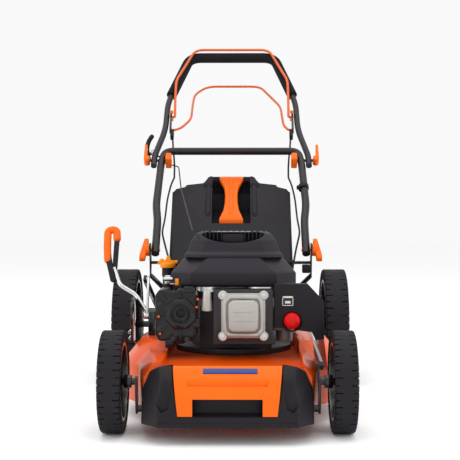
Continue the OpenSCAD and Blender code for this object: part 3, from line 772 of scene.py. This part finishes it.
skirt = loft("skirt", [plan(128, 119, 395, 40, 277), plan(131, 116, 398, 42, 281), plan(131, 116, 398, 42, 305),
                       plan(126, 120, 393, 44, 311), plan(103, 138, 372, 50, 337), plan(99, 142, 368, 50, 340),
                       plan(96, 146, 364, 50, 340)], 2.2, 3, 10)
hollow = loft("hollow", [plan(125, 122, 392, 40, 270), plan(125, 122, 392, 40, 300), plan(90, 150, 360, 50, 334)])
skirt = rounded_edges(carve(skirt, [hollow]), 0)
cap = loft("cap", [plan(103, 138, 373, 34, 336), plan(104, 137, 374, 34, 340), plan(103, 138, 373, 34, 343),
                   plan(97, 145, 366, 32, 349), plan(89, 154, 355, 30, 372), plan(80, 165, 344, 28, 386),
                   plan(70, 175, 335, 26, 390.4)], 2.6, 3, 8)
smile = [(9 + 70 * math.cos(math.radians(a)), 392 + 25 * math.sin(math.radians(a))) for a in range(180, 361, 12)]
cutter = extruded("smile", smile + [(79, 400), (-61, 400)], "y", 130, 49)
vents = [slab("vent", (10 + k * 13 - 3, 196, 384), (10 + k * 13 + 3, 322, 400), 0) for k in range(-5, 6)]
cap = rounded_edges(carve(cap, [cutter] + vents), 0.7, 2, 40)
finished(join("cowl", [skirt, cap]), shroud_plastic, "deck", ["engine_shroud"])
blades = []
for k in range(-7, 8):
    x = 9 + k * 8.2
    if abs(k) > 2:
        foot = 392 - 25 * math.sqrt(1 - ((x - 9) / 70) ** 2)
        blades.append(slab("blade", (x - 1.3, 168, foot - 1), (x + 1.3, 176.5, 389.5), 0.4))
blades.append(slab("plate", (-13, 165, 366), (31, 176, 386), 1.5))
blades.append(slab("ledge", (-48, 170, 387.8), (66, 180, 390.4), 0.8))
finished(join("cowl_blades", blades), black_plastic, "deck")
# painted shade: a near-black sheet behind the blades stands for the dark inside of the slot
finished(slab("cowl_back", (-56, 177.6, 364), (74, 179.4, 388.5), 0.2), painted_slot_shade, "deck")
finished(slab("cowl_strip", (-30, 172, 390.2), (47, 179, 390.9), 0.2), pale_print, "deck")
print("cowl made")

# %% [markdown]
# ## Valve cover, plug and air filter
# The valve cover is a stack of rounded plates: a foot with four bolted ears, a rim, and a raised panel with two blank
# bands. The plug cap leans beside it, and the filter's case carries a blank label and the red primer bulb.

# %% Valve cover, plug and filter
foot = extruded("cover_foot", rounded_rect(30, 224, 88, 90, 12), "y", 55.4, -6.5, 1.6, 3)
rim_plate = extruded("cover_rim", rounded_rect(30, 224, 82, 84, 16), "y", 50, -7.5, 2.2, 3)
carve(rim_plate, [extruded("rim_cut", rounded_rect(30, 224, 66, 68, 13), "y", 60, -40)])
panel = extruded("cover_panel", rounded_rect(30, 224, 60, 64, 12), "y", 52, -15, 3.2, 4)
bands = [slab("band", (10, 36.2, z), (50, 39, z + 1.6), 0.5) for z in (214, 232)]
ears = [spun("ear", [(0, 0), (9.5, 0), (9.5, -8), (8, -9.5), (0, -9.5)], (30 + sx * 41, 55.4, 224 + sz * 41), "y", 28,
             closed=False) for sx in (-1, 1) for sz in (-1, 1)]
finished(join("valve_cover_fine", [foot, rim_plate, panel] + bands + ears), cast_alloy, "deck", ["valve_cover"])
bolts = [hex_bolt("bolt", 30 + sx * 41, 46, 224 + sz * 41, 4.6, 4.5) for sx in (-1, 1) for sz in (-1, 1)]
finished(join("cover_bolts", bolts), bright_steel, "deck")
cone = [(0, 0), (10, 0), (11, 3), (9, 24), (8, 38), (6.5, 42), (0, 42)]
plug = spun("plug_cone", [(r, t - 20) for r, t in cone], (-43, 62, 253), "z", 28, closed=False)
finished(plug, cast_alloy, "deck", ["spark_plug_cap"])
softened("air_filter_housing", 4.5, black_plastic, 40, 3)
print("covers made")

# %% [markdown]
# ## Exhaust guard
# A cast guard keeps hands off the silencer. Its face has a thick eight-sided boss round the outlet, ribs that run out
# to the corners and small screws; it is hollow behind, so the silencer shows through the outlet.

# %% Exhaust guard
OUT_X, OUT_Z = -97, 226


def ring_of(x, z, radius, corners, turn=0.0):
    """A regular outline about (x, z)."""
    return [(x + radius * math.cos(2 * math.pi * (k + turn) / corners),
             z + radius * math.sin(2 * math.pi * (k + turn) / corners)) for k in range(corners)]


face = [(-148, 184), (-141, 172), (-112, 170), (-106, 165), (-90, 165), (-84, 170), (-70, 172), (-64, 182), (-64, 262),
        (-71, 274), (-100, 277), (-104, 272), (-120, 272), (-124, 277), (-141, 274), (-148, 264)]
guard = extruded("guard_face", face, "y", 70, 80, 3.0, 3)
hollow = slab("hollow", (-144, 75, 160), (-68, 158, 273), 4)
hole = spun("hole", [(0, -20), (19, -20), (19, 20), (0, 20)], (OUT_X, 70, OUT_Z), "y", 40, closed=False)
guard = rounded_edges(carve(guard, [hollow, hole]), 0.6, 2, 35)
boss = extruded("guard_boss", ring_of(OUT_X, OUT_Z, 33, 8, 0.5), "y", 62, 9, 2.4, 3)
hole = spun("hole", [(0, -20), (20, -20), (20, 20), (0, 20)], (OUT_X, 70, OUT_Z), "y", 40, closed=False)
boss = rounded_edges(carve(boss, [hole]), 1.2, 2, 40)
ribs = []
for x0, z0, x1, z1 in ((-126, 252, -140, 268), (-68, 268, -78, 252), (-126, 200, -142, 182), (-76, 200, -66, 184),
                       (-97, 260, -97, 274), (-97, 192, -97, 170), (-142, 226, -130, 226)):
    ribs.append(wrapped("rib", [(x + dx, y, z + dz) for x, z in ((x0, z0), (x1, z1)) for dx in (-2.2, 2.2)
                                for dz in (-2.2, 2.2) for y in (65.5, 72)], 1.0))
tabs = [slab("tab", lo, hi, 1.5) for lo, hi in (((-152, 68, 214), (-140, 78, 232)), ((-70, 68, 196), (-58, 78, 216)),
                                               ((-128, 66, 158), (-112, 84, 174)), ((-90, 66, 270), (-70, 84, 281)))]
finished(join("guard", [guard, boss] + ribs + tabs), hot_black, "deck", ["exhaust_guard"])
screws = [hex_bolt("screw", x, 70, z, 3.2, 4) for x, z in ((-140, 246), (-140, 196), (-72, 262), (-72, 190),
                                                           (-112, 270), (-84, 174), (-112, 176))]
finished(join("guard_screws", screws), black_paint, "deck")
marks = [spun("seal", [(0, 0), (2.8, 0), (2.4, -2.5), (0, -2.8)], (x, 68, z), "y", 16, closed=False)
         for x, z in ((-141, 221), (-138, 186), (-62, 256), (-64, 240))]
finished(join("guard_seals", marks), orange_plastic, "deck")
softened("exhaust_silencer", 6, dark_cast, 30, 3)
print("guard made")

# %% [markdown]
# ## Grass box
# The box is a blown plastic tub: its front slopes back over the flap and its top steps up in three ledges to the grip.
# Two finger wells are sunk either side of the orange grip, which narrows at the waist like an hourglass.

# %% Grass box
side_view = [(756, 150), (756, 282), (936, 497), (968, 520), (1180, 528), (1262, 490), (1286, 300), (1180, 165)]
inner_view = [(750, 156), (762, 279), (926, 475), (968, 484), (1178, 484), (1254, 470), (1279, 300), (1177, 171)]
tub = extruded("tub", side_view, "x", -164, 328)
steps = [(180, 478), (160, 490), (154, 497), (130, 503), (125, 509), (80, 514), (74, 519), (70, 545), (180, 545)]
corners = [extruded("corner", [(s * x, z) for x, z in steps], "y", 900, 420) for s in (-1, 1)]
front_cut = [extruded("shoulder", [(s * 166, 140), (s * 150, 140), (s * 164.2, 300)], "y", 740, 140)
             for s in (-1, 1)]
tub = rounded_edges(carve(tub, corners + front_cut), 5, 3, 18)
mound = loft("mound", [[(-78, 942, 500), (78, 942, 500), (78, 1122, 500), (-78, 1122, 500)],
                       [(-76, 944, 516), (76, 944, 516), (76, 1120, 516), (-76, 1120, 516)],
                       [(-62, 968, 534), (62, 968, 534), (62, 1104, 534), (-62, 1104, 534)]], 5, 4, 18)
WELL = [(856, 402), (880, 398), (1008, 440), (1018, 560), (856, 560)]
inside = extruded("inside", inner_view, "x", -158, 316)
tub = carve(tub, [inside])
pocket = wrapped("pocket", [(x, y, z) for x in (-66, 66) for y, z in (
    (868, 412), (932, 488), (962, 512), (1038, 523), (1038, 428), (884, 386), (868, 394))], 3, 3)
tub, pocket, mound = [rounded_edges(carve(part, [extruded("well", WELL, "x", -53, 106)]), 1.8, 3, 30)
                      for part in (tub, pocket, mound)]
rails = [wrapped("rail", [(s * x, y, z) for x, y, z in (
    (56, 872, 408), (76, 870, 404), (59, 872, 431), (70, 873, 429), (55, 958, 500), (78, 956, 500), (59, 966, 534),
    (68, 966, 533))], 6.0, 4) for s in (-1, 1)]
finished(join("grass_box_tub", [tub, pocket, mound] + rails), box_plastic, "grass_box", ["grass_box_shell"])


def grip_ring(y, half, low, high):
    """One cross-section of the grip."""
    return [(-half, y, low), (half, y, low), (half, y, high), (-half, y, high)]


waist = loft("hourglass", [grip_ring(864, 34, 398, 414), grip_ring(876, 29, 410, 425), grip_ring(892, 22, 425, 440),
                           grip_ring(915, 18, 446, 461), grip_ring(945, 17.5, 474, 488), grip_ring(966, 21, 494, 507),
                           grip_ring(978, 28, 506, 518), grip_ring(990, 34, 517, 530), grip_ring(1017, 34, 520, 535)],
             3.5, 3, 20)
spine = loft("spine", [grip_ring(880, 5, 426, 431.5), grip_ring(915, 5, 457, 463.5), grip_ring(945, 5, 484, 490.5),
                       grip_ring(984, 6, 519, 526)], 1.5, 2)
finished(join("grip", [waist, spine]), orange_plastic, "grass_box", ["grass_box_handle"])
print("grass box made")

# %% [markdown]
# ## Height lever
# A bent bright rod climbs from its pivot and ends in a black tapered arm that splits into a closed loop. The outer
# side and the top of the loop are covered by a thick orange sleeve.

# %% Height lever
def lever_at(x, r, off=0):
    """A place r along the leaning lever from its pivot, and off to its rear."""
    return (x, 250 + 0.5 * r + 0.866 * off, 205 + 0.866 * r - 0.5 * off)


rod = tube("lever_rod", rounded([(-150, 250, 205), (-177, 252, 208), lever_at(-206, 52), lever_at(-243, 76),
                                 lever_at(-257, 118)], 10), 4.6, 20)
boss = spun("lever_boss", [(0, -4), (7, -4), (7, 30), (0, 30)], (-182, 250, 205), "x", 24, closed=False)
link = wrapped("lever_lug", [(x, 250 + y, 205 + z) for x in (-182, -177) for y, z in
                             ((-6, 4), (6, -4), (-4, -7), (4, 7), (39, 82), (51, 74), (47, 86), (53, 80))], 1.2)
pin = spun("lever_pin", [(0, 0), (4, 0), (4, 11), (0, 11)], (-192, 295, 283), "x", 20, closed=False)
finished(join("height_lever_fine", [rod, boss, link, pin]), bright_steel, "height_lever", ["height_lever"])
outer = rounded([lever_at(-273, 138), lever_at(-276, 170), lever_at(-277, 214), lever_at(-257, 216),
                 lever_at(-255, 192)], 11)
sleeve = [tube("sleeve", outer, 8.6, 28)]
for tip in (outer[0], outer[-1]):
    sleeve.append(ball("sleeve_end", tip, 8.6, 28))
finished(join("lever_sleeve", sleeve), orange_plastic, "height_lever", ["lever_grip"])
arm = wrapped("lever_arm", [(x, *lever_at(0, r, off)[1:]) for x, r, off in (
    (-281, 150, -6), (-281, 150, 6), (-266, 150, -6), (-266, 150, 6), (-264, 84, -4), (-264, 84, 4), (-252, 80, -4),
    (-252, 80, 4))], 3, 3)
inner = wrapped("lever_inner", [(x, *lever_at(0, r, off)[1:]) for x, r, off in (
    (-261, 196, -4), (-261, 196, 4), (-249, 196, -4), (-249, 196, 4), (-262, 84, -4), (-262, 84, 4), (-251, 84, -4),
    (-251, 84, 4))], 3, 3)
finished(join("lever_loop", [arm, inner]), black_plastic, "height_lever")
print("lever made")

# %% [markdown]
# ## CAD pieces with softened edges
# These keep the engineer's shape. Their triangles are merged into flat faces and their edges rounded: wide on moulded
# knobs and the tank, narrow on fins and brackets.

# %% Softened pieces
for node, width, material in (("height_bracket", 1.2, black_paint), ("wing_knob_left", 3.0, orange_plastic),
                              ("wing_knob_right", 3.0, orange_plastic), ("clamp_lever_left", 2.4, orange_plastic),
                              ("clamp_lever_right", 2.4, orange_plastic), ("carburettor", 2.0, grey_cast),
                              ("fuel_tank", 6.0, black_plastic), ("crankcase", 1.6, dark_cast),
                              ("cylinder_block", 0.7, dark_cast), ("gearbox", 2.0, grey_cast),
                              ("handle_brackets", 1.0, black_paint), ("deck_shell", 2.0, deck_paint)):
    softened(node, width, material, 40)
print("softened:", [n for n in made if n.endswith("_fine")])

# %% [markdown]
# ## Cables and starter rope
# The sheathed cables and the rope are held at both ends and cross the handle's folds. They are tubes along the frame's
# own route, cut into short lengths, and they ride on no body.

# %% Cables and rope
def dense(points, step=12):
    """More points along a route, none further apart than step."""
    out = [Vector(points[0])]
    for p, q in zip(points, points[1:]):
        p, q = Vector(p), Vector(q)
        count = max(1, math.ceil((q - p).length / step))
        out += [p + (q - p) * k / count for k in range(1, count + 1)]
    return out


def bent(obj, material, node):
    """Finish a cord that runs between two bodies, on neither of them, and hide the CAD node it stands for."""
    obj.data.materials.clear()
    obj.data.materials.append(material)
    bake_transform(obj)
    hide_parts(node)
    made.append(obj.name)


def flipped(points):
    """The same route on the other side."""
    return [(-x, y, z) for x, y, z in points]


TOP_RUN = [(-171, 1056, 646), (-168, 1030, 615), (-164, 1006, 586), (-161, 975, 556), (-160, 945, 530)]
BRAKE_RUN = [(-160, 944, 529), (-168, 922, 508), (-176, 890, 468), (-179, 840, 415), (-184, 790, 378),
             (-170, 720, 341), (-156, 640, 312), (-150, 540, 296), (-148, 420, 286), (-140, 330, 284)]
DRIVE_RUN = [(160, 944, 529), (168, 922, 508), (176, 890, 468), (179, 840, 415), (184, 790, 378), (170, 720, 336),
             (158, 680, 280), (150, 650, 225), (146, 640, 178)]
ROPE_RUN = [(-77, 180, 393), (-124, 620, 490), (-148, 960, 557), (-152, 1000, 562), (-204, 1030, 577),
            (-224, 1036, 588), (-230, 1038, 599)]
for name, run, sign in (("brake", TOP_RUN, 1), ("drive", flipped(TOP_RUN), -1)):
    bent(tube(f"{name}_upper_sheath", dense(rounded(run, 14)), 2.55, 12), sheath,
         f"{name}_cable_upper")
bent(tube("brake_lower_sheath", dense(rounded(BRAKE_RUN, 22)), 2.55, 12), sheath,
     "brake_cable_lower")
bent(tube("drive_lower_sheath", dense(rounded(DRIVE_RUN, 22)), 2.55, 12), sheath,
     "drive_cable_lower")
bent(tube("starter_cord", dense(rounded(ROPE_RUN, 12)), 1.7, 10), rope_finish,
     "starter_rope")
print("cables made")

# %% [markdown]
# ## Starter grip and handle fittings
# The curved starter grip, clamp nuts, bail stops, cable boxes, wheel spacers and the cable clip are small mouldings.
# Each is a short tube, a turned block or a slab, since that is all their making needs.

# %% Handle fittings
grip_line = [(-238, 1038, 583), (-244, 1045, 603), (-245, 1051, 622), (-240, 1057, 640), (-232, 1061, 652)]
grip_body = tube("starter_grip_body", rounded(grip_line, 9), 6.6, 24)
grip_neck = spun("starter_neck", [(0, 0), (5.5, 0), (4, 8), (2.6, 12), (0, 12)], (-240, 1041, 601), "x", 24,
                 closed=False)
ends = [ball("grip_end", p, 6.6, 24) for p in (grip_line[0], grip_line[-1])]
finished(join("starter_grip", [grip_body, grip_neck] + ends), black_plastic, "starter_handle", ["starter_handle"])
eye = spun("rope_eye", [(4.6, -1.6), (7.4, -1.6), (7.4, 1.6), (4.6, 1.6)], (-226, 1034, 606), "y", 28, 0.8)
finished(eye, bright_steel, "lower_handle")


def turned_block(name, x0, x1, centre, half_s, half_n, degrees, edge):
    """A block across x whose section is turned by so many degrees."""
    c, s = math.cos(math.radians(degrees)), math.sin(math.radians(degrees))
    outline = [(centre[0] + a * half_s * c - b * half_n * s, centre[1] + a * half_s * s + b * half_n * c)
               for a, b in ((-1, -1), (1, -1), (1, 1), (-1, 1))]
    return extruded(name, outline, "x", x0, x1 - x0, edge, 3)


for side, name in ((-1, "left"), (1, "right")):
    nut = turned_block(f"clamp_nut_{name}", side * 168.5, side * 185.3, (CLAMP[1], CLAMP[2]), 13.5, 19, 45, 3.2)
    finished(nut, orange_plastic, "lower_handle")
    stops = [slab("stop", (min(side * 171, side * 181), 1088, z), (max(side * 171, side * 181), 1098, z + 9), 2)
             for z in (722, 700)]
    finished(join(f"bail_stop_{name}", stops), orange_plastic, "upper_handle")
    box = turned_block(f"cable_box_{name}", side * 168, side * 178, (1062, 658), 15, 9, 45, 2.0)
    finished(box, black_plastic, "upper_handle")
    spacer = [spun("spacer", [(9, 0), (13, 0), (13, 15), (9, 15)], (side * 189 if side > 0 else -204, 0, 100), "x", 28,
                   0.8)]
    finished(join(f"spacer_{name}", spacer), black_paint, "front_axle")
right_box = slab("right_box", (186, 708, 274), (206.5, 730, 296), 2.5)
finished(right_box, black_plastic, "deck")
clip = spun("tube_clip", [(10.8, -7), (14.5, -7), (14.5, 7), (10.8, 7)], (0, 0, 0), "z", 28, 1.0)
clip.data.transform(Matrix.Translation(at(*on_handle(199, 235))) @ Matrix.Rotation(-SLOPE, 4, "X")
                    @ Matrix.Translation(-at(0, 0, 0)))
hook = slab("clip_hook", (180, 880, 494), (192, 892, 506), 2)
finished(join("cable_clip", [clip, hook]), black_plastic, "lower_handle")
print("handle fittings made")

# %% [markdown]
# ## Small engine fittings
# The cable stay with its tag, the filter's blank label, the primer dome, the oil cap and the height scale's springs
# are what catch the eye round the engine. The dome is spun; a spring is a thin tube along a helix.

# %% Engine fittings
stay = [wrapped("stay", [(x, y, z) for x in (-134, -112) for y, z in ((146, 280), (149, 280), (146, 283),
                                                                       (150, 283))], 0.8),
        wrapped("stay", [(x, y, z) for x in (-134, -122) for y in (146, 149) for z in (280, 300)], 0.8),
        spun("stay_ferrule", [(0, 0), (4.4, 0), (4.4, 18), (3, 20), (0, 20)], (-136, 144, 292), "x", 20, closed=False)]
finished(join("cable_stay", stay), bright_steel, "deck")
tag = slab("cable_tag", (-110, 112, 281), (-103, 115.5, 295), 1.0)
finished(tag, yellow_plastic, "deck")
inlay = slab("filter_label", (108, 61.2, 243), (131, 62.4, 263), 0.4)
finished(inlay, black_paint, "deck")
frame_lines = [slab("line", lo, hi, 0.1) for lo, hi in (
    ((108.5, 60.8, 243.4), (130.5, 61.3, 244.6)), ((108.5, 60.8, 259), (130.5, 61.3, 262.6)),
    ((108.5, 60.8, 243.4), (109.7, 61.3, 262.6)), ((129.3, 60.8, 243.4), (130.5, 61.3, 262.6)),
    ((114, 60.8, 248), (125, 61.3, 253)))]
finished(join("label_frame", frame_lines), pale_print, "deck")
dome = [(0, -21), (6, -20.6), (11, -19), (15, -15.5), (17, -11), (17.4, -6), (17.4, 0), (0, 0)]
rubber = spun("primer_dome", dome, (128, 71, 213), "y", 48, closed=False)
finished(rubber, red_rubber, "primer_bulb", ["primer_bulb"])
collar = spun("primer_collar", [(19, 0), (22, 0), (22, -3), (19.6, -4), (19, -3)], (128, 62.5, 213), "y", 48)
finished(collar, black_plastic, "deck")
cap_top = spun("oil_cap_base", [(0, 0), (16.8, 0), (16.8, 8), (14, 12), (0, 12)], (-134, 250, 311), "z", 36, 1.0,
               closed=False)
plug = spun("oil_plug", [(0, 0), (7.6, 0), (7.6, 17), (0, 17)], (-134, 250, 296), "z", 24, closed=False)
wings = extruded("oil_wings", [(-158, 318), (-150, 330), (-144, 331), (-140, 325), (-136, 336), (-130, 338),
                               (-126, 326), (-112, 327), (-111, 321), (-120, 317)], "y", 245, 10, 2.2, 3)
finished(join("oil_cap_fine", [cap_top, plug, wings]), yellow_plastic, "oil_cap", ["oil_cap"])
springs = []
for y0, z0 in ((222, 172), (232, 158)):
    coil = [(-214.5 + 3.2 * math.cos(t * 0.7), y0 + t * 0.62, z0 + 3.2 * math.sin(t * 0.7)) for t in range(60)]
    springs.append(tube("spring", coil, 0.8, 8))
finished(join("scale_springs", springs), bright_steel, "deck")
print("fittings made;", len(made), "pieces in all")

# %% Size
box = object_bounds()
